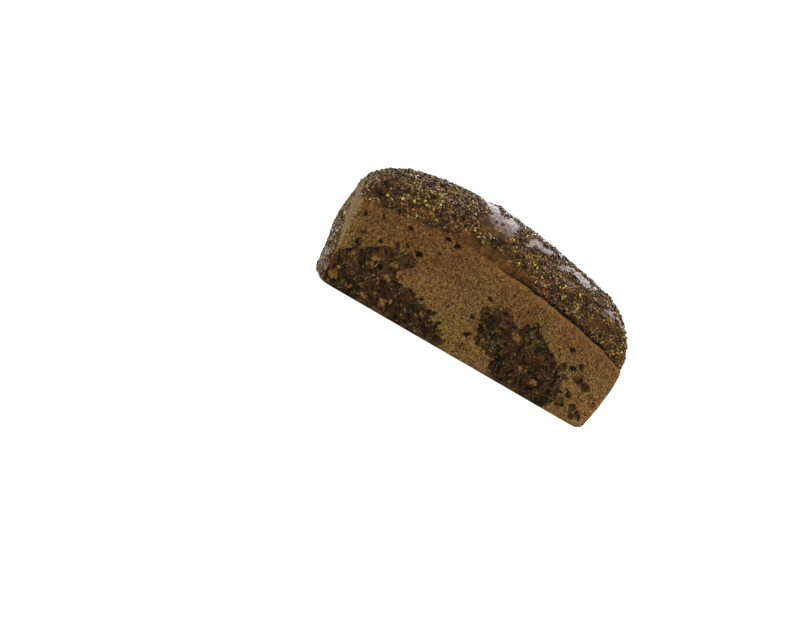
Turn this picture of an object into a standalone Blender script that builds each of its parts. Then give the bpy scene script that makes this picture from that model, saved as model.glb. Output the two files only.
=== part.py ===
"""A whole rye loaf baked in a tin: one solid, with its domed crust and the seeds baked on to it."""

import math
import random

import bmesh
import bpy
from mathutils import Matrix, Vector, noise

# Driving dimensions, in millimetres. X runs along the loaf, Y across it, Z up from the base.
MM = 0.001
BASE_LENGTH, RIM_LENGTH = 231.0, 236.5
BASE_WIDTH, RIM_WIDTH = 95.5, 100.5
RIM_HEIGHT = 75.0  # height at which the tin has its rim sizes
CORNER_PULL = 2.4  # how far an upright corner is drawn in, along X and along Y
BASE_EDGE = 5.0  # radius of the edge round the base
END_BULGE = 5.5  # how far an end wall swells at its middle
LEFT_FULLNESS, RIGHT_FULLNESS = 1.5, 0.85  # above 1 an end swells most over half its height, below 1 under it
CORNER_BULGE, CORNER_TOP = 1.8, 55.0  # how far the right end's corners swell, and the height where that stops
SIDE_BULGE = 0.8

# Heights over the base at shares of the half length: where the tin wall stops, and the dome's crest.
CREASE = ((-1.0, 74.0), (-0.8, 70.0), (-0.5, 73.5), (-0.1, 73.0), (0.35, 69.0), (0.75, 62.0), (1.0, 52.5))
CREST = ((-1.0, 106.0), (-0.6, 110.5), (-0.2, 114.5), (0.2, 111.5), (0.6, 106.0), (1.0, 106.0))

# The furrow where the dome parts from the wall, and the dome's own form.
FURROW_DEPTH = 2.4
FURROW_RISE = 1.4
DOME_START = 3.0
DOME_BULGE = 1.4  # how far the dome stands out over its foot, at a third of its rise
FOOT_INSET = 0.2  # share of the furrow's depth by which the dome's foot stands in from the wall
END_ROUNDING, END_ROOT = 6.4, 1.6
SIDE_ROUNDING, SIDE_ROOT = 2.9, 2.0
LUMP_SIZE, LUMP_DEPTH = 34.0, 1.1
LUMP_SHIFT = Vector((3.1, 7.7, 1.9))

# The grid that the solid is built on.
ALONG, ACROSS = 30, 14
CROWDING = 0.65  # 0 is an even grid, 1 has its lines closest together at both ends
EDGE_STEPS = 3
WALL_STEPS = 4

# Flax seeds, and where they lie. A spacing is the least distance between two seeds' middles.
SEED_LENGTH, SEED_WIDTH, SEED_THICKNESS = 5.0, 2.7, 1.5
SEED_SIDES, SEED_RINGS = 4, 4
SEED_PROUD = 0.22  # share of its thickness by which a seed's middle stands over the crust
SEED_TIP = 0.45  # how far a seed narrows towards its tip
DOME_SEEDS, DOME_SPACING = 160, 10.0
PATCH_SEEDS, PATCH_SPACING = 70, 7.0
DRAWS_PER_SEED = 60
BARE_BASE = 4.0  # height below which no seed lies, so that the loaf rests on its own base
# Wall patches: the wall's side, its middle along the wall, its height, half its length and half its height.
PATCHES = (
    ("front", -88, 22, 27, 24),
    ("front", -48, 14, 26, 15),
    ("front", 24, 26, 17, 26),
    ("front", 52, 15, 26, 19),
    ("back", -62, 24, 30, 20),
    ("back", 8, 18, 26, 16),
    ("back", 78, 28, 24, 22),
    ("left", 12, 24, 38, 38),
    ("right", -14, 22, 24, 18),
)

LOAF_COLOUR = (0.17, 0.085, 0.03, 1.0)
LOAF_ROUGHNESS = 0.6
SHARP_ANGLE = math.radians(45)


def along_line(stations, share):
    """The smooth line through the stations, read at a share of the half length."""
    share = min(max(share, stations[0][0]), stations[-1][0])
    last = len(stations) - 2
    i = next(n for n in range(last + 1) if share <= stations[n + 1][0] or n == last)
    (x0, y0), (x1, y1) = stations[i], stations[i + 1]
    before, after = stations[max(i - 1, 0)], stations[min(i + 2, last + 1)]
    slope0 = (y1 - before[1]) / (x1 - before[0])
    slope1 = (after[1] - y0) / (after[0] - x0)
    span = x1 - x0
    t = (share - x0) / span
    start = (2 * t**3 - 3 * t**2 + 1) * y0 + (t**3 - 2 * t**2 + t) * span * slope0
    return start + (3 * t**2 - 2 * t**3) * y1 + (t**3 - t**2) * span * slope1


def smooth_step(low, high, value):
    t = min(max((value - low) / (high - low), 0.0), 1.0)
    return t * t * (3 - 2 * t)


def outline(u, v, half_length, half_width):
    """A point of the plan: u and v run from -1 to 1, and the upright corners are round."""
    pull = CORNER_PULL * abs(u) ** (half_length / (2 * CORNER_PULL))
    pull *= abs(v) ** (half_width / (2 * CORNER_PULL))
    x = math.copysign(half_length * abs(u) - pull, u)
    y = math.copysign(half_width * abs(v) - pull, v)
    return x, y


def tin_half_sizes(height):
    reach = height / RIM_HEIGHT
    half_length = (BASE_LENGTH + (RIM_LENGTH - BASE_LENGTH) * reach) / 2
    half_width = (BASE_WIDTH + (RIM_WIDTH - BASE_WIDTH) * reach) / 2
    return half_length, half_width


def furrow_depth(u, v):
    """The furrow is open along the right of the front and the left of the back, and closes at the ends."""
    open_front = smooth_step(-0.35, 0.35, u) * smooth_step(0.0, -0.8, v) * smooth_step(0.98, 0.8, u)
    open_back = smooth_step(0.3, -0.4, u) * smooth_step(0.0, 0.8, v) * smooth_step(-0.98, -0.8, u)
    return FURROW_DEPTH * max(open_front, open_back)


def wall_point(u, v, height, inset=0.0):
    """A point of the tin-baked wall, for u or v at -1 or 1."""
    half_length, half_width = tin_half_sizes(height)
    x, y = outline(u, v, half_length - inset, half_width - inset)
    reach = min(height / RIM_HEIGHT, 1.0)
    end_swell = math.sin(math.pi * reach ** (LEFT_FULLNESS if u < 0 else RIGHT_FULLNESS))
    corner_swell = math.sin(math.pi * min(height / CORNER_TOP, 1.0)) if u > 0 else 0.0
    x += math.copysign(END_BULGE * end_swell * abs(u) ** 8 * (1 - v * v), u)
    x += CORNER_BULGE * corner_swell * abs(u) ** 8 * v * v
    y += math.copysign(SIDE_BULGE * math.sin(math.pi * reach) * abs(v) ** 8 * (1 - u * u), v)
    return Vector((x, y, height))


def dome_point(u, v):
    """A point of the domed top. At u or v of -1 or 1 it is the dome's foot, inside the furrow."""
    foot = along_line(CREASE, u) + DOME_START
    rise_along = (1 - abs(u) ** END_ROUNDING) ** (1 / END_ROOT)
    rise_across = (1 - abs(v) ** SIDE_ROUNDING) ** (1 / SIDE_ROOT)
    lift = rise_along * rise_across
    half_length, half_width = tin_half_sizes(foot)
    swell = 27 / 4 * lift * (1 - lift) ** 2  # 1 at its peak, where lift is a third
    spread = DOME_BULGE * swell - FOOT_INSET * furrow_depth(u, v) * (1 - lift)
    x, y = outline(u, v, half_length + spread, half_width + spread)
    return Vector((x, y, foot + (along_line(CREST, u) - foot) * lift))


def lumpy(point, normal):
    """The dough's slow unevenness, which fades out towards the flat base."""
    share = smooth_step(0.0, 30.0, point.z)
    return point + normal * (LUMP_DEPTH * share * noise.noise(point / LUMP_SIZE + LUMP_SHIFT))


def crowded(count):
    """Grid lines from -1 to 1, closer together near both ends, where the dome curves most."""
    even = [2 * i / count - 1 for i in range(count + 1)]
    return [(1 - CROWDING) * t + CROWDING * math.sin(math.pi / 2 * t) for t in even]


def loaf_core():
    """The loaf with no seeds: rings of the wall, the furrow, and the dome's grid on top."""
    us, vs = crowded(ALONG), crowded(ACROSS)
    rim = [(u, vs[0]) for u in us[:-1]] + [(us[-1], v) for v in vs[:-1]]
    rim += [(u, vs[-1]) for u in reversed(us[1:])] + [(us[0], v) for v in reversed(vs[1:])]

    rings = []
    for step in range(EDGE_STEPS + 1):
        angle = math.pi / 2 * step / EDGE_STEPS
        height, inset = BASE_EDGE * (1 - math.cos(angle)), BASE_EDGE * (1 - math.sin(angle))
        rings.append([wall_point(u, v, height, inset) for u, v in rim])
    for step in range(1, WALL_STEPS + 1):
        share = step / WALL_STEPS
        rings.append(
            [wall_point(u, v, BASE_EDGE + (along_line(CREASE, u) - BASE_EDGE) * share) for u, v in rim]
        )
    rings.append([wall_point(u, v, along_line(CREASE, u) + FURROW_RISE, furrow_depth(u, v)) for u, v in rim])

    mesh = bmesh.new()
    made = [[mesh.verts.new(point) for point in ring] for ring in rings]
    grid = {(u, v): mesh.verts.new(dome_point(u, v)) for u in us for v in vs}
    made.append([grid[key] for key in rim])
    mesh.faces.new(reversed(made[0]))
    for lower, upper in zip(made, made[1:]):
        for i in range(len(rim)):
            j = (i + 1) % len(rim)
            mesh.faces.new((lower[i], lower[j], upper[j], upper[i]))
    for u0, u1 in zip(us, us[1:]):
        for v0, v1 in zip(vs, vs[1:]):
            mesh.faces.new((grid[u0, v0], grid[u1, v0], grid[u1, v1], grid[u0, v1]))
    mesh.normal_update()
    base = set(made[0])
    moved = {vert: lumpy(vert.co, vert.normal) for vert in mesh.verts if vert not in base}
    for vert, place in moved.items():
        vert.co = place
    bmesh.ops.triangulate(mesh, faces=[f for f in mesh.faces if len(f.verts) == 4])
    bmesh.ops.scale(mesh, vec=(MM, MM, MM), verts=mesh.verts)
    mesh.normal_update()
    return mesh


def in_patch(point, normal):
    """Whether a point of a wall, in millimetres, lies in one of the seeded patches."""
    if abs(normal.x) > abs(normal.y):
        side, along = ("left" if normal.x < 0 else "right"), point.y
    else:
        side, along = ("front" if normal.y < 0 else "back"), point.x
    for patch_side, middle, height, half_length, half_height in PATCHES:
        near = math.hypot((along - middle) / half_length, (point.z - height) / half_height)
        if side == patch_side and near < 1:
            return True
    return False


def scatter(core, count, spacing, allowed, draw):
    """Random places on the core's faces, no two closer than spacing, as point and normal pairs."""
    faces = [face for face in core.faces if len(face.verts) == 3]
    areas = [face.calc_area() for face in faces]
    chosen = []
    for _ in range(count * DRAWS_PER_SEED):
        face = draw.choices(faces, areas)[0]
        corners = [vert.co for vert in face.verts]
        s, t = draw.random(), draw.random()
        if s + t > 1:
            s, t = 1 - s, 1 - t
        point = (corners[0] + (corners[1] - corners[0]) * s + (corners[2] - corners[0]) * t) / MM
        if not allowed(point, face.normal):
            continue
        if all((point - other).length > spacing for other, _ in chosen):
            chosen.append((point, face.normal.copy()))
        if len(chosen) == count:
            break
    return chosen


def seed_places(core):
    draw = random.Random(41)

    def on_dome(point, normal):
        return point.z > along_line(CREASE, 2 * point.x / RIM_LENGTH) + 2 * DOME_START

    def on_wall(point, normal):
        below = point.z < along_line(CREASE, 2 * point.x / RIM_LENGTH) - DOME_START
        return below and point.z > BARE_BASE and in_patch(point, normal)

    places = scatter(core, DOME_SEEDS, DOME_SPACING, on_dome, draw)
    places += scatter(core, PATCH_SEEDS, PATCH_SPACING, on_wall, draw)
    return [(point, normal, draw.uniform(0, 2 * math.pi)) for point, normal in places]


def seed_mesh():
    """A flax seed: a flat oval that narrows to one tip, lying in its own XY plane."""
    mesh = bmesh.new()
    bmesh.ops.create_uvsphere(mesh, u_segments=SEED_SIDES, v_segments=SEED_RINGS, radius=1)
    bmesh.ops.rotate(mesh, verts=mesh.verts, matrix=Matrix.Rotation(math.pi / 2, 3, "Y"))
    for vert in mesh.verts:
        narrow = 1 - SEED_TIP * smooth_step(-0.2, 1.0, vert.co.x)
        vert.co.y *= narrow * SEED_WIDTH / 2
        vert.co.z *= narrow * SEED_THICKNESS / 2
        vert.co.x *= SEED_LENGTH / 2
    bmesh.ops.scale(mesh, vec=(MM, MM, MM), verts=mesh.verts)
    data = bpy.data.meshes.new("flax_seed")
    mesh.to_mesh(data)
    mesh.free()
    return data


def lay_seeds(places, collection):
    """One object for each seed, flat on the crust and turned its own way."""
    data = seed_mesh()
    for number, (point, normal, turn) in enumerate(places):
        seed = bpy.data.objects.new(f"seed_{number}", data)
        tilt = normal.to_track_quat("Z", "X").to_matrix().to_4x4()
        middle = (point + normal * SEED_THICKNESS * SEED_PROUD) * MM
        seed.matrix_world = Matrix.Translation(middle) @ tilt @ Matrix.Rotation(turn, 4, "Z")
        collection.objects.link(seed)


def crust_material():
    material = bpy.data.materials.new("crust")
    material.use_nodes = True
    shader = material.node_tree.nodes["Principled BSDF"]
    shader.inputs["Base Color"].default_value = LOAF_COLOUR
    shader.inputs["Roughness"].default_value = LOAF_ROUGHNESS
    shader.inputs["Metallic"].default_value = 0.0
    return material


def fuse(loaf, collection):
    """Joins every seed of the collection to the loaf, and then removes them."""
    join = loaf.modifiers.new("seeds", "BOOLEAN")
    join.operation = "UNION"
    join.operand_type = "COLLECTION"
    join.collection = collection
    join.solver = "EXACT"
    join.use_self = False
    bpy.context.view_layer.update()
    graph = bpy.context.evaluated_depsgraph_get()
    joined = bpy.data.meshes.new_from_object(loaf.evaluated_get(graph))
    loaf.modifiers.clear()
    loaf.data = joined
    for seed in list(collection.objects):
        bpy.data.objects.remove(seed)
    bpy.data.collections.remove(collection)


def build():
    for old in list(bpy.data.objects):
        bpy.data.objects.remove(old)
    core = loaf_core()
    data = bpy.data.meshes.new("loaf")
    core.to_mesh(data)
    loaf = bpy.data.objects.new("loaf", data)
    bpy.context.scene.collection.objects.link(loaf)
    seeds = bpy.data.collections.new("seeds")
    bpy.context.scene.collection.children.link(seeds)
    lay_seeds(seed_places(core), seeds)
    core.free()
    fuse(loaf, seeds)
    loaf.data.materials.clear()
    loaf.data.materials.append(crust_material())
    loaf.data.shade_smooth()
    loaf.data.set_sharp_from_angle(angle=SHARP_ANGLE)


build()
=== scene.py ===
"""A whole rye loaf baked in a tin: its crust, and the flax, cracked grain and grits baked on to it."""

import math
import random
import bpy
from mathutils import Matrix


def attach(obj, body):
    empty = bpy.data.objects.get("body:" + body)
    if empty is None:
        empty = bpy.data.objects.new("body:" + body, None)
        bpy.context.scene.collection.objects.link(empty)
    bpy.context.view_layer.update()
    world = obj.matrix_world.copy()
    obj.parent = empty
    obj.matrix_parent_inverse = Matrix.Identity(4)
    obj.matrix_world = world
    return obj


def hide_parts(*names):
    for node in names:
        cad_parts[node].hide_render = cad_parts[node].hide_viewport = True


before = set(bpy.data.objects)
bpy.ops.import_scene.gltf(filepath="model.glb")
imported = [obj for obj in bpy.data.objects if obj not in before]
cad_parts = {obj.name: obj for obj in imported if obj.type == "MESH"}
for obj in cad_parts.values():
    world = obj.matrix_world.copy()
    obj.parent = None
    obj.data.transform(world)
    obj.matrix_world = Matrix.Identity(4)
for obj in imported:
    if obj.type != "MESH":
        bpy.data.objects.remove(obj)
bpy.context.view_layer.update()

from types import SimpleNamespace

import bmesh
import bpy
import numpy as np
from mathutils import Matrix, Quaternion, Vector, noise

# The loaf's driving dimensions, in millimetres, as its solid has them.
MM = 0.001
BASE_LENGTH, RIM_LENGTH = 231.0, 236.5
BASE_WIDTH, RIM_WIDTH = 95.5, 100.5
RIM_HEIGHT = 75.0
CORNER_PULL = 2.4
BASE_EDGE = 5.0
END_BULGE, SIDE_BULGE = 5.5, 0.8
CORNER_BULGE, CORNER_TOP = 1.8, 55.0
FURROW_DEPTH = 2.4
DOME_START = 3.0
DOME_BULGE = 1.4
LUMP_SIZE, LUMP_DEPTH = 34.0, 1.1
# Heights of the wall's top edge and of the dome's crest, along shares of the half length.
CREASE = ((-1.0, 74.0), (-0.8, 70.0), (-0.5, 73.5), (-0.1, 73.0), (0.35, 69.0), (0.75, 62.0), (1.0, 52.5))
CREST = ((-1.0, 106.0), (-0.6, 110.5), (-0.2, 114.5), (0.2, 111.5), (0.6, 106.0), (1.0, 106.0))
# How full the loaf's curves are, as powers.
LEFT_FULLNESS, RIGHT_FULLNESS = 1.5, 0.85
END_ROUNDING, END_ROOT = 6.4, 1.6
SIDE_ROUNDING, SIDE_ROOT = 2.9, 2.0
SWELL_POWER = 8
FURROW_FULLNESS = 0.8
# Where the furrow opens on the front and on the back, and closes at the ends: shares of the half length.
FRONT_OPENS, BACK_OPENS, FURROW_CLOSES = (-0.35, 0.35), (0.3, -0.4), (0.98, 0.8)
# The furrow is fully open from this share of the half width outwards.
FURROW_SIDE = 0.8
# The dome's foot stands back by this share of the furrow's depth.
FOOT_INSET = 0.2

# The crust's fine grid.
ALONG, ACROSS = 260, 128
ALONG_CROWDING, ACROSS_CROWDING = 1.3, 1.5
EDGE_STEPS, WALL_STEPS, FURROW_STEPS = 4, 60, 6

# Relief of the crust, in millimetres out from the solid's surface.
GRAIN_BED = -1.15
BARE_SINK = 0.3
PATCH_SINK = 0.9
# Bare places keep a little grain, and lose most of their clods: shares.
GRAIN_LOST, CLODS_LOST = 0.95, 0.75
# The end walls are where the normal has more than this share along the loaf.
SIDE_ON = 0.75
# A patch's soft edge, the wider band round it that has a few seeds, and their share.
PATCH_SOFTNESS, AROUND_SOFTNESS, AROUND_SHARE = 0.6, 7.0, 0.04
# Over the flat, clean base: how high grain starts, and between which heights relief and lumps grow.
CLEAR_BASE = 1.8
FLAT_BASE = (0.2, 3.0)
LUMPY_FROM = (0.0, 30.0)

# Layers of noise: how strong, how many millimetres its lumps are wide, and a shift within the noise.
CREASE_WAVE = ((1.1, 9.0, 21.0),)
WALL_RELIEF = ((0.35, 14.0, 3.0), (0.15, 2.0, 6.0))
DOME_SWELL = ((0.4, 14.0, 3.0),)
CLODS = ((1.2, 8.0, 8.0), (0.8, 3.5, 9.0))
DOME_FINE = ((0.5, 2.0, 6.0),)
PATCH_EDGE = ((2.8, 7.0, 0.0), (2.2, 3.0, 5.0))
END_EDGE = ((2.4, 6.0, 4.0),)
SPILL_EDGE = ((0.8, 4.0, 1.0),)
BARE_EDGE = ((1.0, 5.0, 2.0), (0.6, 2.2, 7.0))
BARE_SPREAD = ((1.0, 26.0, 11.0), (0.3, 6.0, 4.0))
GRAIN_CLUSTERS = ((1.0, 5.0, 14.0),)
PIT_EDGE = ((0.7, 1.7, 0.0),)
# Where the lumps of the whole loaf are read in the noise.
LUMP_SHIFT = np.array((3.1, 7.7, 1.9))

# Seeded patches of the front wall: outlines along the wall and up it.
LEFT_PATCH = (
    (-122, 14), (-114, 24), (-106, 33), (-92, 41), (-80, 48), (-65, 49), (-60, 43), (-70, 33),
    (-64, 28), (-56, 26), (-45, 22), (-34, 22), (-32, 15), (-24, 16), (-15, 7), (-13, -9), (-122, -9),
)
RIGHT_PATCH = (
    (2, 30), (-3, 40), (0, 46), (12, 51), (20, 49), (26, 44), (31, 43), (36, 49), (43, 52), (52, 44),
    (62, 40), (74, 32), (83, 18), (78, -9), (29, -9), (26, 7), (27, 14), (18, 15), (5, 18), (5, 24),
)
# Single seeds and small clusters of the front wall: along, up and reach.
FRONT_STRAYS = (
    (-104, 38, 3.5), (-105, 46, 2.5), (-62, 52, 2.5), (-79, 50, 2.0), (75, 35, 4.0), (88, 41, 2.5),
    (91, 33, 5.0), (98, 30, 4.0), (90, 19, 3.0), (87, 12, 4.0), (98, 12, 3.5), (104, 10, 3.5),
    (111, 22, 2.5), (80, 29, 3.0), (-5, 33, 2.5), (-2, 20, 2.5), (101, 6, 3.0), (0, 12, 2.0),
)
# Bare spots within the patches: along, up and reach.
FRONT_GAPS = (
    (-108, 9, 4.0), (-95, 8, 3.0), (-82, 6, 3.0), (-67, 9, 3.5), (-62, 12, 3.0), (-74, 36, 4.0),
    (-87, 34, 3.5), (-88, 28, 3.0), (-73, 27, 3.5), (-49, 7, 2.5), (-38, 16, 3.0), (-104, 28, 3.5),
    (25, 46, 3.0), (33, 37, 4.0), (10, 22, 2.0), (48, 18, 2.5), (62, 14, 3.0),
)
# Seeded patches of the back wall, outlined in the same way, and its single seeds and small clusters.
BACK_PATCHES = (
    (
        (-106, -9), (-98, 6), (-89, 10), (-95, 24), (-85, 32), (-82, 44), (-68, 40), (-60, 48),
        (-47, 42), (-45, 32), (-30, 31), (-27, 20), (-16, 14), (-19, 24), (-7, 27), (-5, 37), (9, 32),
        (16, 40), (28, 34), (25, 22), (38, 15), (32, -9), (14, -9), (6, 7), (-8, 3), (-24, 9),
        (-42, 4), (-46, -9),
    ),
    (
        (60, -9), (64, 4), (56, 13), (50, 27), (61, 34), (57, 46), (71, 54), (84, 43), (91, 50),
        (104, 39), (97, 27), (110, 17), (99, 3), (104, -9),
    ),
)
# The back's patches have more ragged edges than the front's: shares of the front's, along and up.
BACK_RAGGED = (1.4, 1.2)
BACK_STRAYS = (
    (40, 44, 3.5), (-26, 44, 3.0), (-101, 38, 4.0), (45, 22, 3.0), (50, 4, 3.5), (110, 50, 3.0),
    (-12, 46, 2.5), (-106, 24, 3.0), (-74, 52, 2.5), (38, 32, 2.5), (-36, 42, 2.5), (112, 30, 2.5),
    (44, 54, 2.0), (-2, 52, 2.0),
)
# The right end's patch: its outline across the wall and up it.
RIGHT_END_PATCH = (
    (-37, -9), (-39, 14), (-34, 28), (-22, 34), (-16, 42), (-4, 36), (2, 28), (12, 22), (8, 8), (-2, -9),
)
# The left end's grain: its outline across the wall and up it.
END_GRAIN = ((-52, -9), (-47, 15), (-43, 31), (-36, 45), (-28, 57), (-8, 65), (60, 66), (60, -9))
# On the left of the front, the dome's grain spills over the crease down to this line: along and up.
SPILL = (
    (-118, 66.5), (-105, 67.5), (-95, 69.5), (-87, 70.3), (-77, 71.6), (-66, 73.0), (-55, 74.5), (-45, 82),
)
# Where the front wall is baked redder, besides along its top edge: along, up and reach.
BAKED_SPOTS = ((-98, 60, 34), (-70, 62, 34), (-36, 64, 28), (32, 52, 18))
# Holes of the front wall, with painted shade in them: along, up, radius and depth.
PITS = (
    (-50, 72.5, 1.7, 2.2), (-42, 71, 2.0, 2.4), (-110, 57, 1.5, 1.4), (-91, 46, 1.3, 1.0),
    (-77, 65, 1.7, 1.2), (-62, 52, 1.8, 1.4), (-98, 62, 1.2, 1.0), (-24, 16.5, 1.6, 1.3),
    (-1, 51, 1.9, 1.5), (-50, 60, 1.2, 0.9), (30, 56, 1.2, 0.9), (74, 49.5, 2.3, 2.0),
    (82, 38, 2.6, 2.2), (-44, 25, 1.4, 1.0), (15, 62, 1.1, 0.8),
)
# Bare places of the dome's front: outlines along the loaf and, in degrees, up round it from the front.
BARE_FRONT = (
    (
        (-33, 58), (-38, 80), (-37, 100), (-22, 100), (-22, 66), (-21, 57), (-17, 56), (-12, 66),
        (-5, 68), (-3, 60), (-5, 52), (-8, 45), (-8, 39), (-13, 35), (-20, 32), (-30, 31), (-37, 36),
        (-34, 43), (-29, 52),
    ),
    ((-50, 14), (-46, 25), (-38, 27), (-28, 24), (-16, 25), (-4, 22), (12, 20), (12, 10), (-50, 10)),
)
# Bare places that clusters of grain break up.
BROKEN_FRONT = (
    ((9, 57), (14, 57), (20, 55), (28, 59), (32, 57), (26, 49), (20, 48), (12, 46), (4, 40), (3, 43)),
    ((31, 43), (40, 52), (54, 61), (64, 57), (75, 57), (73, 48), (60, 42), (53, 45), (46, 47), (38, 42)),
    ((43, 38), (50, 40), (55, 38), (52, 34), (44, 34)),
    ((78, 30), (84, 37), (92, 40), (101, 38), (103, 31), (90, 27), (84, 25)),
    ((70, 18), (82, 20), (92, 23), (103, 25), (103, 21), (92, 16), (76, 12), (68, 13)),
)
# Bare places round the rest of the dome: a point of each, and its reach along and across.
BARE_BACK = (
    (108, -38, 84, 5, 6), (30, 40, 98, 18, 8), (-70, 46, 90, 16, 6), (90, 20, 100, 12, 8),
    (-34, 51, 80, 22, 4), (8, 50, 84, 10, 5),
)
# Part of the largest bare place is dull: its outline, along the loaf and in degrees.
DULL_FRONT = (
    (-31, 45), (-28, 42), (-23, 39), (-19, 38), (-12, 37), (-12, 30), (-24, 28), (-34, 30), (-42, 36),
    (-36, 46),
)
# Height of the line that those degrees turn round, in millimetres.
ROUND_MIDDLE = 60.0

# Flax seeds, in millimetres. Their tips are narrower by a share of the width, and bent by another.
FLAX_LENGTH, FLAX_WIDTH, FLAX_THICKNESS = 4.6, 2.5, 1.2
FLAX_TIP = 0.5
FLAX_SIDES, FLAX_RINGS = 6, 4
FLAX_BENDS = (-0.1, 0.0, 0.12)
# Cracked grain, in several shapes of each kind: corners, then length, width and thickness in millimetres.
GRAIN_KINDS = 9
BROKEN_GRAINS = {
    "cracked": (9, 3.9, 2.4, 1.7),
    "grits": (7, 2.3, 1.5, 1.2),
    "husks": (8, 3.6, 1.0, 0.6),
    "maize": (10, 3.4, 2.8, 2.2),
}
STRAW = (12, 5.4, 1.6, 1.2)
# How far grains tilt, in radians, by the attribute that says where they are strewn.
TILTS = {"grain": 0.55, "meal": 0.55, "pressed": 0.2, "plain": 0.1}
# What is strewn over the crust: the piece, its look and its shapes, the attribute that says where,
# spacing in millimetres, density in grains a square metre, lift in millimetres, and the smallest and
# largest scale.
STREWN = (
    ("flax_on_dome", "light_flax", "flax", "grain", 2.5, 3e5, 0.35, (0.75, 0.8, 0.9), (1.05, 1.1, 1.2)),
    ("flax_in_walls", "dark_flax", "flax", "pressed", 2.5, 9e5, 0.1, (0.9, 0.95, 0.9), (1.15, 1.25, 1.2)),
    ("cracked_rye", "rye", "cracked", "meal", 1.9, 5e5, 0.4, (0.5, 0.5, 0.6), (1.05, 1.1, 1.2)),
    ("fine_grits", "grit", "grits", "meal", 1.35, 1.2e6, 0.1, (0.5, 0.6, 0.6), (1.3, 1.2, 1.2)),
    ("husks", "rye", "husks", "grain", 2.2, 2e5, 0.6, (0.6, 0.6, 0.8), (1.1, 1.1, 1.1)),
    ("maize_grits", "maize", "maize", "grain", 5.0, 2e3, 0.3, (0.4, 0.4, 0.4), (0.8, 0.8, 0.8)),
    ("grits_in_walls", "grit", "grits", "pressed", 1.8, 1.8e5, 0.3, (0.4, 0.5, 0.5), (0.8, 0.9, 0.8)),
    ("specks_in_walls", "dark_flax", "flax", "plain", 5.0, 1e4, -0.1, (0.25, 0.25, 0.4), (0.7, 0.5, 0.7)),
)
# Single grains of the dome's front: a point of it, the turn in degrees, and the size.
MAIZE_PLACES = (
    (-93.1, -50.6, 79.4, 10, 1.25), (-84.5, -50.2, 82.6, 60, 1.2), (-78.4, -49.6, 85.8, 30, 1.0),
    (-36.1, -50.0, 88.1, 75, 1.0), (-103.0, -50.6, 76.2, 45, 0.8), (-66.0, -46.0, 93.0, 15, 0.8),
)
STRAW_PLACES = (
    (-47.3, -41.7, 100.8, 50, 1.0), (-77.0, -44.0, 94.0, 20, 0.9), (-103.5, -50.5, 76.9, 70, 0.7),
)
# How far the middles of these grains stand off the crust, in millimetres.
SINGLE_LIFT = 0.5

# The floor's half width in metres, its colour, and its glow near the loaf and far from it.
FLOOR_REACH = 6.0
FLOOR_WHITE = (0.9, 0.9, 0.9, 1.0)
NEAR_GLOW = (0.72, 0.72, 0.72, 1.0)
# The white room's strength as a light, and how much brighter it looks.
ROOM_LIGHT, ROOM_GLARE = 0.15, 0.95
# The studio's lamps: place in metres, width, power in watts and colour.
LAMPS = {
    "back_right": ((0.42, 0.52, 1.0), 1.8, 50.0, (0.94, 0.93, 1.0)),
    "front_left": ((-0.55, -0.85, 1.0), 0.35, 9.5, (1.0, 0.98, 0.95)),
    "front_right": ((0.95, -0.9, 0.6), 0.35, 2.2, (1.0, 1.0, 1.0)),
    "back_left": ((-0.9, 0.9, 0.6), 0.5, 4.5, (1.0, 1.0, 1.0)),
}
LAMP_AIM = Vector((0.0, 0.0, 0.06))
# The camera: place in metres, the way it looks, its roll, and its lens and sensor in millimetres.
CAMERA_PLACE = (-0.1723, -0.6914, 0.0454)
LOOK_AZIMUTH, LOOK_DOWN = math.radians(10.78), math.radians(3.56)
CAMERA_ROLL = math.radians(30.82)
CAMERA_LENS, CAMERA_SENSOR = 40.93, 36.0


def along_line(stations, share):
    """The smooth line through the stations, read at shares of the half length."""
    xs, ys = np.array(stations).T
    share = np.clip(share, xs[0], xs[-1])
    i = np.clip(np.searchsorted(xs, share) - 1, 0, len(xs) - 2)
    before, after = np.maximum(i - 1, 0), np.minimum(i + 2, len(xs) - 1)
    slope0 = (ys[i + 1] - ys[before]) / (xs[i + 1] - xs[before])
    slope1 = (ys[after] - ys[i]) / (xs[after] - xs[i])
    span = xs[i + 1] - xs[i]
    t = (share - xs[i]) / span
    start = (2 * t**3 - 3 * t**2 + 1) * ys[i] + (t**3 - 2 * t**2 + t) * span * slope0
    return start + (3 * t**2 - 2 * t**3) * ys[i + 1] + (t**3 - t**2) * span * slope1


def smooth_step(low, high, value):
    """0 below low, 1 above high, and smooth between. With low above high it falls."""
    t = np.clip((value - low) / (high - low), 0.0, 1.0)
    return t * t * (3 - 2 * t)


def outline(u, v, half_length, half_width):
    """Points of the plan: u and v run from -1 to 1, and the upright corners are round."""
    pull = CORNER_PULL * abs(u) ** (half_length / (2 * CORNER_PULL))
    pull = pull * abs(v) ** (half_width / (2 * CORNER_PULL))
    return np.sign(u) * (half_length * abs(u) - pull), np.sign(v) * (half_width * abs(v) - pull)


def tin_half_sizes(height):
    reach = height / RIM_HEIGHT
    half_length = (BASE_LENGTH + (RIM_LENGTH - BASE_LENGTH) * reach) / 2
    half_width = (BASE_WIDTH + (RIM_WIDTH - BASE_WIDTH) * reach) / 2
    return half_length, half_width


def furrow_depth(u, v):
    """The furrow is open along the right of the front and the left of the back, and closes at the ends."""
    front = smooth_step(*FRONT_OPENS, u) * smooth_step(0.0, -FURROW_SIDE, v) * smooth_step(*FURROW_CLOSES, u)
    back = smooth_step(*BACK_OPENS, u) * smooth_step(0.0, FURROW_SIDE, v) * smooth_step(*FURROW_CLOSES, -u)
    return FURROW_DEPTH * np.maximum(front, back)


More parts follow.
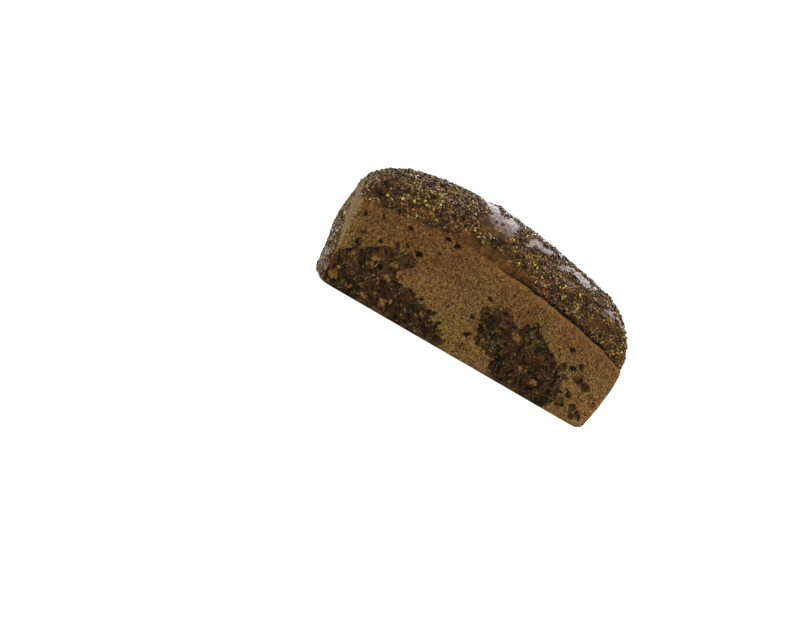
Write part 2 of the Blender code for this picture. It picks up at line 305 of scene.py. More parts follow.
def crease_height(u, v):
    """Height of the wall's top edge, which the dough has left a little wavy."""
    places = np.stack((u * RIM_LENGTH / 2, v * RIM_WIDTH / 2, 0 * u), 1)
    return along_line(CREASE, u) + layered(places, CREASE_WAVE)


def wall_points(u, v, height, inset=0.0):
    """Points of the tin-baked wall, for u or v at -1 or 1."""
    half_length, half_width = tin_half_sizes(height)
    x, y = outline(u, v, half_length - inset, half_width - inset)
    reach = np.minimum(height / RIM_HEIGHT, 1.0)
    end_swell = np.sin(np.pi * reach ** np.where(u < 0, LEFT_FULLNESS, RIGHT_FULLNESS))
    corner_swell = np.sin(np.pi * np.minimum(height / CORNER_TOP, 1.0)) * (u > 0)
    near_end, near_side = abs(u) ** SWELL_POWER, abs(v) ** SWELL_POWER
    x = x + np.sign(u) * END_BULGE * end_swell * near_end * (1 - v * v)
    x = x + CORNER_BULGE * corner_swell * near_end * v * v
    y = y + np.sign(v) * SIDE_BULGE * np.sin(np.pi * reach) * near_side * (1 - u * u)
    return np.stack((x, y, height + 0 * x), 1)


def dome_points(u, v):
    """Points of the domed top. At u or v of -1 or 1 they are the dome's foot, inside the furrow."""
    foot = crease_height(u, v) + DOME_START
    rise_along = (1 - abs(u) ** END_ROUNDING) ** (1 / END_ROOT)
    rise_across = (1 - abs(v) ** SIDE_ROUNDING) ** (1 / SIDE_ROOT)
    lift = rise_along * rise_across
    half_length, half_width = tin_half_sizes(foot)
    # The bulge is greatest a third of the way up, where this swell is 1.
    swell = 27 / 4 * lift * (1 - lift) ** 2
    spread = DOME_BULGE * swell - FOOT_INSET * furrow_depth(u, v) * (1 - lift)
    x, y = outline(u, v, half_length + spread, half_width + spread)
    return np.stack((x, y, foot + (along_line(CREST, u) - foot) * lift), 1)


def noise_at(points, size, shift=0.0):
    """Smooth noise, from -1 to 1, with lumps of about that size."""
    return np.fromiter((noise.noise(p) for p in (points / size + shift).tolist()), float, len(points))


def layered(points, layers):
    """The sum of several layers of noise, each given by its strength, size and shift."""
    return sum(strength * noise_at(points, size, shift) for strength, size, shift in layers)


def crowded(count, crowding):
    """Grid lines from -1 to 1, closer together near both ends, where the dome curves most."""
    even = np.linspace(-1, 1, count + 1)
    return np.sign(even) * (1 - (1 - abs(even)) ** crowding)


def furrow_ring(rim_u, rim_v, crease, foot, share):
    """A ring between the wall's top edge and the dome's foot, drawn in to the furrow's bottom."""
    height = crease + DOME_START * share
    inset = furrow_depth(rim_u, rim_v) * math.sin(math.pi * share) ** FURROW_FULLNESS
    outer, inner = wall_points(rim_u, rim_v, height), wall_points(rim_u, rim_v, height, inset)
    ring = outer * (1 - share) + foot * share
    ring[:, :2] += (inner - outer)[:, :2]
    return ring


def wall_rings(rim_u, rim_v):
    """Rings from the base to the dome's foot, each with how far up from wall to dome it is."""
    crease, foot = crease_height(rim_u, rim_v), dome_points(rim_u, rim_v)
    rings = []
    for step in range(EDGE_STEPS + 1):
        angle = math.pi / 2 * step / EDGE_STEPS
        height, inset = BASE_EDGE * (1 - math.cos(angle)), BASE_EDGE * (1 - math.sin(angle))
        rings.append((wall_points(rim_u, rim_v, height, inset), 0.0))
    for step in range(1, WALL_STEPS + 1):
        height = BASE_EDGE + (crease - BASE_EDGE) * step / WALL_STEPS
        rings.append((wall_points(rim_u, rim_v, height), 0.0))
    for step in range(1, FURROW_STEPS):
        share = step / FURROW_STEPS
        rings.append((furrow_ring(rim_u, rim_v, crease, foot, share), share))
    return rings + [(foot, 1.0)]


def crust_grid():
    """The crust's points and faces, and how far up from wall to dome each point is, from 0 to 1."""
    us, vs = crowded(ALONG, ALONG_CROWDING), crowded(ACROSS, ACROSS_CROWDING)
    rim = [(i, 0) for i in range(ALONG)] + [(ALONG, j) for j in range(ACROSS)]
    rim += [(i, ACROSS) for i in range(ALONG, 0, -1)] + [(0, j) for j in range(ACROSS, 0, -1)]
    rings = wall_rings(us[[i for i, j in rim]], vs[[j for i, j in rim]])
    columns = len(rim)
    points = np.concatenate([ring for ring, share in rings])
    top = np.repeat([share for ring, share in rings], columns)

    # The dome's own grid shares the points of its rim with the last ring.
    first = len(points) - columns
    index = np.full((ALONG + 1, ACROSS + 1), -1)
    for place, (i, j) in enumerate(rim):
        index[i, j] = first + place
    inner = np.argwhere(index < 0)
    index[index < 0] = len(points) + np.arange(len(inner))
    points = np.concatenate((points, dome_points(us[inner[:, 0]], vs[inner[:, 1]])))
    top = np.concatenate((top, np.ones(len(inner))))

    here = np.arange(columns)
    beside = (here + 1) % columns
    faces = []
    for ring in range(len(rings) - 1):
        low, high = ring * columns, (ring + 1) * columns
        faces.append(np.stack((low + here, low + beside, high + beside, high + here), 1))
    corners = (index[:-1, :-1], index[1:, :-1], index[1:, 1:], index[:-1, 1:])
    faces.append(np.stack([corner.ravel() for corner in corners], 1))
    quads = np.concatenate(faces).tolist()
    base = list(range(columns - 1, -1, -1))
    return points, quads + [base], top


def outline_share(along, up, corners, softness):
    """1 inside the outline and 0 outside it, with an edge of that softness."""
    corners = np.array(corners, float)
    inside = np.zeros(len(along), bool)
    nearest = np.full(len(along), 1e9)
    for (x0, z0), (x1, z1) in zip(corners, np.roll(corners, -1, 0)):
        step = np.array((x1 - x0, z1 - z0))
        share = ((along - x0) * step[0] + (up - z0) * step[1]) / (step @ step)
        share = np.clip(share, 0, 1)
        away = np.hypot(along - x0 - share * step[0], up - z0 - share * step[1])
        nearest = np.minimum(nearest, away)
        if z0 != z1:
            crosses = (z0 > up) != (z1 > up)
            inside ^= crosses & (along < x0 + (up - z0) / (z1 - z0) * (x1 - x0))
    return smooth_step(-softness, softness, np.where(inside, nearest, -nearest))


def outlines_share(along, up, outlines, softness):
    """1 inside any of the outlines, and 0 outside them."""
    return np.max([outline_share(along, up, corners, softness) for corners in outlines], 0)


def spot_share(along, up, spots):
    """1 in the middle of any of the round spots, and 0 outside them."""
    share = np.zeros(len(along))
    for x, z, reach in spots:
        away = np.hypot(along - x, up - z)
        share = np.maximum(share, smooth_step(reach, 0.7 * reach, away))
    return share


def seeded_share(points, side_on, top, softness):
    """Where the walls have seeds pressed into them, from 0 to 1. Side on are the end walls' points."""
    x, y, z = points.T
    ragged = layered(points, PATCH_EDGE)
    front = np.maximum(
        outline_share(x + ragged, z + ragged, LEFT_PATCH, softness),
        outline_share(x + ragged, z - ragged, RIGHT_PATCH, softness),
    )
    front *= 1 - spot_share(x + ragged, z, FRONT_GAPS)
    front = np.maximum(front, spot_share(x, z, FRONT_STRAYS))
    along, up = x + BACK_RAGGED[0] * ragged, z - BACK_RAGGED[1] * ragged
    back = np.maximum(spot_share(x, z, BACK_STRAYS), outlines_share(along, up, BACK_PATCHES, softness))
    right_end = outline_share(y + ragged, z + ragged, RIGHT_END_PATCH, softness) * (x > 0)
    share = np.where(side_on, right_end, np.where(y < 0, front, back))
    return share * (top == 0)


def end_share(points, side_on, top):
    """Where the left end is covered in grain, from 0 to 1."""
    x, y, z = points.T
    ragged = layered(points, END_EDGE)
    return outline_share(y + ragged, z + ragged, END_GRAIN, 0.8) * side_on * (x < 0) * (top == 0)


def spilled_share(points, top):
    """Where the dome's grain spills over on to the wall, on the left of the front."""
    x, y, z = points.T
    line = np.interp(x, *np.array(SPILL).T) + layered(points, SPILL_EDGE)
    return smooth_step(-0.5, 0.5, z - line) * (y < -RIM_WIDTH / 3) * (x < SPILL[-1][0]) * (top < 1)


def degrees_round(points):
    """How far round the loaf each point is: 0 at the front, 90 at the top."""
    x, y, z = points.T
    return np.degrees(np.arctan2(z - ROUND_MIDDLE, -y))


def bare_share(points):
    """Where the dome's crust shows with no grain on it, from 0 to 1."""
    x, y, z = points.T
    turn = degrees_round(points)
    ragged = layered(points, BARE_EDGE)
    patchy = smooth_step(0.42, 0.48, layered(points, BARE_SPREAD))
    broken = smooth_step(-0.45, -0.25, layered(points, GRAIN_CLUSTERS))
    share = patchy * smooth_step(80.0, 90.0, turn)
    share = np.maximum(share, outlines_share(x + ragged, turn + ragged, BARE_FRONT, 0.7))
    share = np.maximum(share, broken * outlines_share(x + ragged, turn + ragged, BROKEN_FRONT, 0.7))
    for x0, y0, z0, reach_along, reach_across in BARE_BACK:
        away = np.hypot((x - x0) / reach_along, np.hypot(y - y0, z - z0) / reach_across)
        share = np.maximum(share, smooth_step(1.05, 0.95, away + 0.3 * ragged))
    return share


def browned_share(points):
    """Where the front wall is baked redder, from 0 to 1, with wide soft edges."""
    x, y, z = points.T
    share = np.zeros(len(points))
    for along, up, reach in BAKED_SPOTS:
        share = np.maximum(share, smooth_step(reach, 0.0, np.hypot((x - along) * 0.8, z - up)) * (y < 0))
    return share


def pit_share(points):
    """The front wall's holes: how dark the painted shade makes each point, and how deep in millimetres."""
    x, y, z = points.T
    dark, deep = np.zeros(len(points)), np.zeros(len(points))
    wobble = layered(points, PIT_EDGE)
    for along, up, radius, depth in PITS:
        away = np.hypot((x - along) * 0.75, z - up) / radius + wobble
        fall = smooth_step(1.1, 0.6, away) * (y < 0)
        dark, deep = np.maximum(dark, fall), np.maximum(deep, fall * depth)
    return dark, deep


def in_furrow(points, top):
    """How deep in the open furrow each point is, from 0 to 1, for painted shade in the furrow. It is darkest
    close above the wall's edge.
    """
    depth = furrow_depth(2 * points[:, 0] / RIM_LENGTH, 2 * points[:, 1] / RIM_WIDTH)
    return smooth_step(0.0, 0.15, top) * smooth_step(0.6, 0.35, top) * depth / FURROW_DEPTH


def vertex_normals(mesh):
    normals = np.empty(len(mesh.vertices) * 3)
    mesh.vertex_normals.foreach_get("vector", normals)
    return normals.reshape(-1, 3)


def store(mesh, name, values):
    mesh.attributes.new(name, "FLOAT", "POINT").data.foreach_set("value", values.astype(np.float32))


def crust_regions(points, normals, top):
    """What lies where on the crust: shares from 0 to 1, how deep the holes are, and the degrees round."""
    side_on = abs(normals[:, 0]) > SIDE_ON
    bare = bare_share(points)
    grain = np.maximum(smooth_step(0.35, 0.6, top), spilled_share(points, top)) * (1 - GRAIN_LOST * bare)
    dark, deep = pit_share(points)
    return SimpleNamespace(
        side_on=side_on,
        top=top,
        wall=1 - smooth_step(0.0, 0.6, top),
        clear=smooth_step(CLEAR_BASE - 0.5, CLEAR_BASE + 0.5, points[:, 2]),
        seeded=seeded_share(points, side_on, top, PATCH_SOFTNESS),
        around=seeded_share(points, side_on, top, AROUND_SOFTNESS),
        end=end_share(points, side_on, top),
        grain=grain, bare=bare, dark=dark, deep=deep,
        turn=degrees_round(points),
        off_base=smooth_step(*FLAT_BASE, points[:, 2]),
    )


def crust_relief(points, at):
    """How far out of the solid's surface each point goes, in millimetres."""
    relief = at.wall * (layered(points, WALL_RELIEF) - PATCH_SINK * np.maximum(at.seeded, at.end) - at.deep)
    relief += (1 - at.wall) * (GRAIN_BED + layered(points, DOME_SWELL) - BARE_SINK * at.bare)
    clods = (1 - CLODS_LOST * at.bare) * layered(points, CLODS)
    relief += (1 - at.wall) * (clods + layered(points, DOME_FINE))
    return at.off_base * relief


def store_strewing(mesh, at, points, under_crease):
    """Says on the crust where each kind of grain is strewn."""
    store(mesh, "pressed", np.maximum(at.seeded, AROUND_SHARE * at.around) * at.clear)
    store(mesh, "grain", np.maximum(at.grain, at.end) * at.clear)
    # Low on the dome's front there is less cracked grain, so more of the skin shows.
    low = smooth_step(-24.0, -12.0, under_crease)
    lowest = smooth_step(-12.0, -5.0, under_crease) * smooth_step(0.0, -25.0, points[:, 0])
    sparse = np.maximum(0.55 * low, 0.8 * lowest) * (points[:, 1] < 0) * ~at.side_on
    store(mesh, "meal", np.maximum(at.grain * (1 - sparse), at.end) * at.clear)
    plain = at.wall * (1 - at.seeded) * (1 - at.end)
    store(mesh, "plain", plain * (1 - at.dark) * (at.top == 0) * at.clear)


def store_looks(mesh, at, points, normals, under_crease):
    """Says on the crust what its material reads."""
    browned = browned_share(points) * ~at.side_on
    # Painted highlight: a thin band just under the wall's top edge, on the loaf's right part, is painted
    # paler.
    edge = smooth_step(4.5, 1.0, under_crease) * smooth_step(-40.0, -5.0, points[:, 0])
    glossy = at.bare * (1 - outline_share(points[:, 0], at.turn, DULL_FRONT, 1.0))
    glossy = glossy * smooth_step(0.3, 1.0, at.top) * smooth_step(22.0, 36.0, at.turn)
    store(mesh, "top", np.maximum(at.top, at.grain))
    store(mesh, "seeded", np.maximum(at.seeded, at.end))
    store(mesh, "browned", browned)
    store(mesh, "baked", np.maximum(smooth_step(24.0, 0.0, under_crease), 0.8 * browned))
    store(mesh, "edge", edge * at.wall)
    # Painted light: the wall's end that faces left, towards the front-left lamp, is painted paler.
    store(mesh, "painted_end_light", at.wall * smooth_step(0.45, 0.85, -normals[:, 0]))
    store(mesh, "gloss", glossy)
    # Painted shade: the holes and the furrow are darkened.
    store(mesh, "dark", np.maximum(at.dark * at.wall, in_furrow(points, at.top)))


def crust_mesh():
    """The loaf's whole crust, with its lumps, patches, furrow and holes as real relief."""
    points, faces, top = crust_grid()
    mesh = bpy.data.meshes.new("crust")
    mesh.from_pydata(points.tolist(), [], faces)
    normals = vertex_normals(mesh)
    lifted = smooth_step(*LUMPY_FROM, points[:, 2])
    points += normals * (LUMP_DEPTH * lifted * noise_at(points, LUMP_SIZE, LUMP_SHIFT))[:, None]

    at = crust_regions(points, normals, top)
    points += normals * crust_relief(points, at)[:, None]
    points[:, 2] = np.maximum(points[:, 2], 0.0)
    mesh.vertices.foreach_set("co", (points * MM).ravel())
    under_crease = along_line(CREASE, 2 * points[:, 0] / RIM_LENGTH) - points[:, 2]
    store_strewing(mesh, at, points, under_crease)
    store_looks(mesh, at, points, normals, under_crease)
    mesh.update()
    mesh.shade_smooth()
    return mesh


class Socket:
    """A node's output. Arithmetic on it, with another output or a number, adds Math nodes."""

    def __init__(self, tree, output):
        self.tree, self.output = tree, output

    def math(self, operation, *others):
        return add_node(self.tree, "ShaderNodeMath", {"operation": operation}, (self, *others))["Value"]

    def __add__(self, other):
        return self.math("ADD", other)

    def __radd__(self, other):
        return self.math("ADD", other)

    def __sub__(self, other):
        return self.math("SUBTRACT", other)

    def __rsub__(self, other):
        return (self * -1).math("ADD", other)

    def __mul__(self, other):
        return self.math("MULTIPLY", other)

    def __rmul__(self, other):
        return self.math("MULTIPLY", other)

    def ramp(self, low, high):
        """0 below low, 1 above high, and smooth between. With low above high it falls."""
        first, last = (0.0, 1.0) if low < high else (1.0, 0.0)
        sizes = {"From Min": min(low, high), "From Max": max(low, high), "To Min": first, "To Max": last}
        settings = {"interpolation_type": "SMOOTHSTEP"}
        return add_node(self.tree, "ShaderNodeMapRange", settings, {"Value": self, **sizes})["Result"]


class Outputs:
    """A node's outputs by name, each as a Socket."""

    def __init__(self, tree, node):
        self.tree, self.node = tree, node

    def __getitem__(self, name):
        found = [output for output in self.node.outputs if output.name == name and output.enabled]
        return Socket(self.tree, found[0])


def add_node(tree, kind, settings=None, inputs=()):
    """A node of that kind, its settings set first, then its sockets' values or links."""
    node = tree.nodes.new(kind)
    for name, value in (settings or {}).items():
        setattr(node, name, value)
    shown = [socket for socket in node.inputs if socket.enabled]
    if not isinstance(inputs, dict):
        pairs = zip(shown, inputs)
    else:
        pairs = [(next(socket for socket in shown if socket.name == name), inputs[name]) for name in inputs]
    for socket, value in pairs:
        if isinstance(value, Socket):
            tree.links.new(value.output, socket)
        else:
            socket.default_value = value
    return Outputs(tree, node)


# Seeds of the random sizes, turns and tones of the grains, and the largest number drawn to pick a shape.
SIZE_SEED, TURN_SEED, TONE_SEED = 11, 12, 13
LARGEST_PICK = 99


def random_value(tree, kind, low, high, seed):
    """A node that draws a value for each grain."""
    sizes = {"Min": low, "Max": high, "Seed": seed}
    return add_node(tree, "FunctionNodeRandomValue", {"data_type": kind}, sizes)["Value"]


def as_vector(tree, x, y, z):
    return add_node(tree, "ShaderNodeCombineXYZ", {}, (x, y, z))["Vector"]


def strewing_inputs(tree):
    """The strewing tree's named inputs, and its output."""
    kinds = (
        ("Crust", "Geometry"), ("Grains", "Collection"), ("Look", "Material"), ("Where", "String"),
        ("Spacing", "Float"), ("Density", "Float"), ("Smallest", "Vector"), ("Largest", "Vector"),
        ("Lift", "Float"), ("Tilt", "Float"), ("Seed", "Int"),
    )
    for name, kind in kinds:
        tree.interface.new_socket(name, in_out="INPUT", socket_type="NodeSocket" + kind)
    tree.interface.new_socket("Strewn", in_out="OUTPUT", socket_type="NodeSocketGeometry")
    return add_node(tree, "NodeGroupInput")


def strewing_tree():
    """Geometry Nodes that lay a collection's grains on a crust, where a named attribute says."""
    tree = bpy.data.node_groups.new("strew_on_crust", "GeometryNodeTree")
    given = strewing_inputs(tree)
    where = add_node(
        tree, "GeometryNodeInputNamedAttribute", {"data_type": "FLOAT"}, {"Name": given["Where"]}
    )
    spread = add_node(
        tree,
        "GeometryNodeDistributePointsOnFaces",
        {"distribute_method": "POISSON"},
        {
            "Mesh": given["Crust"],
            "Distance Min": given["Spacing"],
            "Density Max": given["Density"],
            "Density Factor": where["Attribute"],
            "Seed": given["Seed"],
        },
    )
    apart = {"Collection": given["Grains"], "Separate Children": True, "Reset Children": True}
    grains = add_node(tree, "GeometryNodeCollectionInfo", {}, apart)
    lean = given["Tilt"]
    lowest, highest = as_vector(tree, lean * -1, lean * -1, -math.pi), as_vector(tree, lean, lean, math.pi)
    turn = random_value(tree, "FLOAT_VECTOR", lowest, highest, TURN_SEED)
    turning = {"Rotation": spread["Rotation"], "Rotate By": turn}
    turned = add_node(tree, "FunctionNodeRotateRotation", {"rotation_space": "LOCAL"}, turning)
    laid = add_node(
        tree,
        "GeometryNodeInstanceOnPoints",
        {},
        {
            "Points": spread["Points"],
            "Instance": grains["Instances"],
            "Pick Instance": True,
            "Instance Index": random_value(tree, "INT", 0, LARGEST_PICK, given["Seed"]),
            "Rotation": turned["Rotation"],
            "Scale": random_value(tree, "FLOAT_VECTOR", given["Smallest"], given["Largest"], SIZE_SEED),
        },
    )
    lift = as_vector(tree, 0.0, 0.0, given["Lift"])
    raising = {"Instances": laid["Instances"], "Translation": lift, "Local Space": True}
    raised = add_node(tree, "GeometryNodeTranslateInstances", {}, raising)
    tone = random_value(tree, "FLOAT", 0.0, 1.0, TONE_SEED)
    toned = add_node(
        tree,
        "GeometryNodeStoreNamedAttribute",
        {"data_type": "FLOAT", "domain": "INSTANCE"},
        {"Geometry": raised["Instances"], "Name": "tone", "Value": tone},
    )
    real = add_node(tree, "GeometryNodeRealizeInstances", {}, {"Geometry": toned["Geometry"]})
    dressing = {"Geometry": real["Geometry"], "Material": given["Look"]}
    dressed = add_node(tree, "GeometryNodeSetMaterial", {}, dressing)
    add_node(tree, "NodeGroupOutput", {}, {"Strewn": dressed["Geometry"]})
    return tree


def strew(tree, name, crust, inputs):
    """One piece of the loaf: every grain of one kind, as a plain mesh."""
    holder = bpy.data.objects.new("strewing", crust)
    bpy.context.scene.collection.objects.link(holder)
    modifier = holder.modifiers.new("strew", "NODES")
    modifier.node_group = tree
    for item in tree.interface.items_tree:
        if item.in_out == "INPUT" and item.name in inputs:
            modifier[item.identifier] = inputs[item.name]
    bpy.context.view_layer.update()
    graph = bpy.context.evaluated_depsgraph_get()
    mesh = bpy.data.meshes.new_from_object(holder.evaluated_get(graph))
    bpy.data.objects.remove(holder)
    mesh.name = name
    return add_piece(name, mesh)


def add_piece(name, mesh):
    piece = bpy.data.objects.new(name, mesh)
    bpy.context.scene.collection.objects.link(piece)
    return piece


def grain_collection(name, meshes):
    """A collection of grain shapes to strew, kept out of the scene itself."""
    collection = bpy.data.collections.new(name)
    for number, mesh in enumerate(meshes):
        collection.objects.link(bpy.data.objects.new(f"{name}_{number}", mesh))
    return collection


def flax_shape(name, bend):
    """A flax seed: a flat oval that narrows to one slightly bent tip. Its rim is marked for the colour,
    which darkens it: partly the seed's own edge, partly painted shade.
    """
    shape = bmesh.new()
    bmesh.ops.create_uvsphere(shape, u_segments=FLAX_SIDES, v_segments=FLAX_RINGS, radius=1)
    bmesh.ops.rotate(shape, verts=shape.verts, matrix=Matrix.Rotation(math.pi / 2, 3, "Y"))
    rims = []
    for vert in shape.verts:
        x, y, z = vert.co
        rims.append(math.hypot(x, y))
        narrow = 1 - FLAX_TIP * float(smooth_step(-0.2, 1.0, x))
        vert.co.x = x * FLAX_LENGTH / 2
        vert.co.y = (y * narrow + bend * x * x) * FLAX_WIDTH / 2
        vert.co.z = z * narrow * FLAX_THICKNESS / 2
    mesh = finished_shape(name, shape)
    mesh.shade_smooth()
    store(mesh, "rim", np.array(rims))
    return mesh


def broken_shape(name, draw, corners, length, width, thickness):
    """A piece of cracked grain: the hull round a few random points, with sharp edges."""
    shape = bmesh.new()
    for _ in range(corners):
        way = Vector([draw.gauss(0, 1) for _ in range(3)]).normalized() * draw.uniform(0.75, 1.0)
        shape.verts.new((way.x * length / 2, way.y * width / 2, way.z * thickness / 2))
    made = bmesh.ops.convex_hull(shape, input=shape.verts)
    bmesh.ops.delete(shape, geom=made["geom_interior"], context="VERTS")
    return finished_shape(name, shape)


def finished_shape(name, shape):
    """The shape as a mesh in metres, its faces outwards."""
    bmesh.ops.recalc_face_normals(shape, faces=shape.faces)
    bmesh.ops.scale(shape, vec=(MM, MM, MM), verts=shape.verts)
    mesh = bpy.data.meshes.new(name)
    shape.to_mesh(mesh)
    shape.free()
    return mesh


def new_material(name, **constants):
    """A material, its node tree, and its shader with the constants set on the shader's own sockets."""
    material = bpy.data.materials.new(name)
    material.use_nodes = True
    shader = material.node_tree.nodes["Principled BSDF"]
    for socket, value in constants.items():
        shader.inputs[socket.replace("_", " ")].default_value = value
    return material, material.node_tree, shader


def feed(shader, name, socket):
    socket.tree.links.new(socket.output, shader.inputs[name])


def attribute(tree, name):
    return add_node(tree, "ShaderNodeAttribute", {"attribute_name": name})["Fac"]


def object_place(tree):
    return add_node(tree, "ShaderNodeTexCoord")["Object"]


def shader_noise(place, size, detail=2.0, roughness=0.5):
    """Noise from 0 to 1, its grains about size millimetres across."""
    sizes = {"Vector": place, "Scale": 1 / (size * MM), "Detail": detail, "Roughness": roughness}
    return add_node(place.tree, "ShaderNodeTexNoise", {}, sizes)["Fac"]


def shader_cells(place, size):
    """Cells of about size millimetres: the distance to the nearest one's middle, and its own colour."""
    return add_node(place.tree, "ShaderNodeTexVoronoi", {}, {"Vector": place, "Scale": 1 / (size * MM)})


def worm_grain(place, size, winding=20.0):
    """Short, winding ridges from 0 to 1, about a third of size millimetres wide: an open-pored crust."""
    return (shader_noise(place, size, 1.0) * winding).math("SINE") * 0.5 + 0.5


def mix(share, first, second):
    """The first colour where share is 0, and the second where it is 1."""
    inputs = {"Factor": share, "A": first, "B": second}
    return add_node(share.tree, "ShaderNodeMix", {"data_type": "RGBA"}, inputs)["Result"]


def shaded(colour, share):
    """The colour made darker or lighter by a share that varies over the surface."""
    grey = as_vector(share.tree, share, share, share)
    return add_node(share.tree, "ShaderNodeVectorMath", {"operation": "MULTIPLY"}, (colour, grey))["Vector"]


def bump(height, distance):
    """Fine relief: height runs from 0 to 1, and distance is its depth in millimetres."""
    sizes = {"Strength": 1.0, "Distance": distance * MM, "Height": height}
    return add_node(height.tree, "ShaderNodeBump", {}, sizes)["Normal"]


def rgb(red, green, blue):
    """A colour given as sRGB numbers from 0 to 255, in linear light."""
    light = [((c / 255 + 0.055) / 1.055) ** 2.4 for c in (red, green, blue)]
    return (*light, 1.0)


def crust_material():
    """Matt, worm-grained tan walls, and a darker dome with a red-brown skin that is glossy in places."""
    material, tree, shader = new_material("rye_crust", Specular_IOR_Level=0.08, Coat_Roughness=0.48)
    place = object_place(tree)
    top, gloss, dark = attribute(tree, "top"), attribute(tree, "gloss"), attribute(tree, "dark")
    worms = worm_grain(place, 2.6)
    grain = shader_noise(place, 1.0, 2.0, 0.6)
    middling = shader_noise(place, 8.0, 3.0)
    specks = shader_cells(place, 6.0)["Distance"].ramp(0.18, 0.09) * middling.ramp(0.46, 0.52)

    wall = wall_colour(tree, place, worms, grain, middling)
    wall = mix(specks, wall, rgb(43, 26, 12))
    # The dough between the pressed seeds: its own tan, darkened partly as painted shade between the seeds.
    patch = mix(middling.ramp(0.35, 0.65), rgb(45, 27, 10), rgb(99, 72, 37))
    patch = shaded(patch, 0.1 + worms * 0.3 + grain * 0.7)
    dome = mix(middling.ramp(0.4, 0.65), rgb(71, 43, 17), rgb(99, 67, 31))
    dome = shaded(dome, 0.15 + worms * 0.45 + grain * 0.75)
    colour = mix(attribute(tree, "seeded").ramp(0.2, 0.8), wall, patch)
    colour = mix((top + (grain - 0.5) * 0.3).ramp(0.25, 0.45), colour, dome)
    # Painted shade: the holes and the furrow are mixed towards near black.
    colour = mix(dark.ramp(0.2, 0.75) * 0.95, colour, rgb(20, 12, 7))
    feed(shader, "Base Color", colour)

    uneven_gloss = gloss * (0.2 + worms * 0.35 + grain.ramp(0.35, 0.65) * 0.45)
    feed(shader, "Roughness", 0.85 - top * 0.2 - gloss * 0.15 + (grain - 0.5) * 0.2)
    feed(shader, "Coat Weight", uneven_gloss * (1 - dark))
    feed(shader, "Normal", bump(worms * 0.45 + grain * 0.55 - specks * 0.5, 0.7))
    return material


def wall_colour(tree, place, worms, grain, middling):
    """Tan strokes over deep brown, redder where the wall is baked more, with painted light: paler on the end
    that faces left, a thin painted highlight along the top edge, and paler towards the base.
    """
    slow, hue = shader_noise(place, 38.0), shader_noise(place, 1.8, 1.0)
    baked, edge, painted_end_light = attribute(tree, "baked"), attribute(tree, "edge"), attribute(tree, "painted_end_light")
    red = (baked * 0.6 + slow * 1.2 + middling * 0.8 + hue * 1.1 - 1.3).ramp(0.0, 1.0)
    pale = mix(red, rgb(124, 99, 53), rgb(126, 90, 46))
    deep = mix(red, rgb(41, 21, 2), rgb(46, 20, 2))
    strokes = worms.math("POWER", 1.5) * 0.45 + grain.ramp(0.38, 0.62) * 0.55
    wall = mix(strokes, deep, pale)
    wall = mix(middling.ramp(0.44, 0.3) * 0.7, wall, rgb(74, 43, 12))
    # Painted highlight: the band under the wall's top edge is mixed towards a pale tan.
    wall = mix(edge * 0.2, wall, rgb(148, 112, 58))
    # Painted light: the end that faces left is mixed towards a pale grey-tan, as if lit.
    wall = mix(painted_end_light * grain.ramp(0.35, 0.65) * 0.3, wall, rgb(190, 166, 124))
    # Painted light: the wall is painted paler towards the base, making up for the shade that falls on its
    # lower part.
    height = add_node(tree, "ShaderNodeSeparateXYZ", {}, (place,))["Z"]
    browned = attribute(tree, "browned") * middling.ramp(0.3, 0.6)
    return shaded(wall, (1.25 - height.ramp(-0.01, 0.055) * 0.35) * (1 - browned * 0.2))


def feed_grain(shader, colour, roughness, mottle, depth):
    """What every kind of grain has: a colour, a roughness and mottled relief, its depth in millimetres."""
    feed(shader, "Base Color", colour)
    feed(shader, "Roughness", roughness)
    feed(shader, "Normal", bump(mottle, depth))


def tone_again(place):
    """A second tone for each few millimetres of the crust, from 0 to 1, apart from the seeds' own."""
    colour = shader_cells(place, 3.0)["Color"]
    return add_node(place.tree, "ShaderNodeSeparateColor", {}, (colour,))["Red"]


def clumps(place):
    """Darker and lighter clumps of grain, some 7 mm across."""
    return 0.42 + shader_noise(place, 7.0).ramp(0.35, 0.65) * 1.15


def flax_material(name, light, shiny):
    """Flax: brown in the middle, with a nearly black rim that is partly the seed's own dark edge and partly
    painted shade. Shiny is the share of seeds with a glossy skin.
    """
    material, tree, shader = new_material(name, Specular_IOR_Level=0.05, Coat_Roughness=0.08)
    place, tone, rim = object_place(tree), attribute(tree, "tone"), attribute(tree, "rim")
    mottle = shader_noise(place, 1.6)
    colour = mix(tone.ramp(0.0, 0.5), rgb(30, 20, 9), rgb(86, 65, 35))
    colour = mix(tone.ramp(0.5, 0.75), colour, rgb(94, 62, 35))
    colour = mix(tone.ramp(0.88, 0.94), colour, rgb(122, 97, 56))
    # Partly painted shade: the seed's rim, where it turns away, is darkened towards near black.
    colour = mix(rim.ramp(0.55, 1.0) * 0.8, colour, rgb(20, 12, 6))
    colour = shaded(colour, (0.6 + mottle * 0.8) * light * clumps(place))
    feed_grain(shader, colour, 0.3 + mottle * 0.2, mottle, 0.12)
    feed(shader, "Coat Weight", tone_again(place).ramp(1 - shiny, 1.02 - shiny) * 0.9)
    return material


def cracked_material():
    """Cracked rye: dark husk on some pieces, brown and tan meal on others."""
    material, tree, shader = new_material("cracked_rye", Specular_IOR_Level=0.06)
    place, tone = object_place(tree), attribute(tree, "tone")
    mottle = shader_noise(place, 1.2, 3.0, 0.6)
    colour = mix(tone.ramp(0.15, 0.5), rgb(37, 25, 12), rgb(109, 85, 47))
    colour = mix(tone.ramp(0.75, 0.97), colour, rgb(162, 142, 88))
    colour = shaded(colour, (0.5 + mottle) * clumps(place))
    feed_grain(shader, colour, 0.35 + mottle * 0.35, mottle, 0.2)
    return material


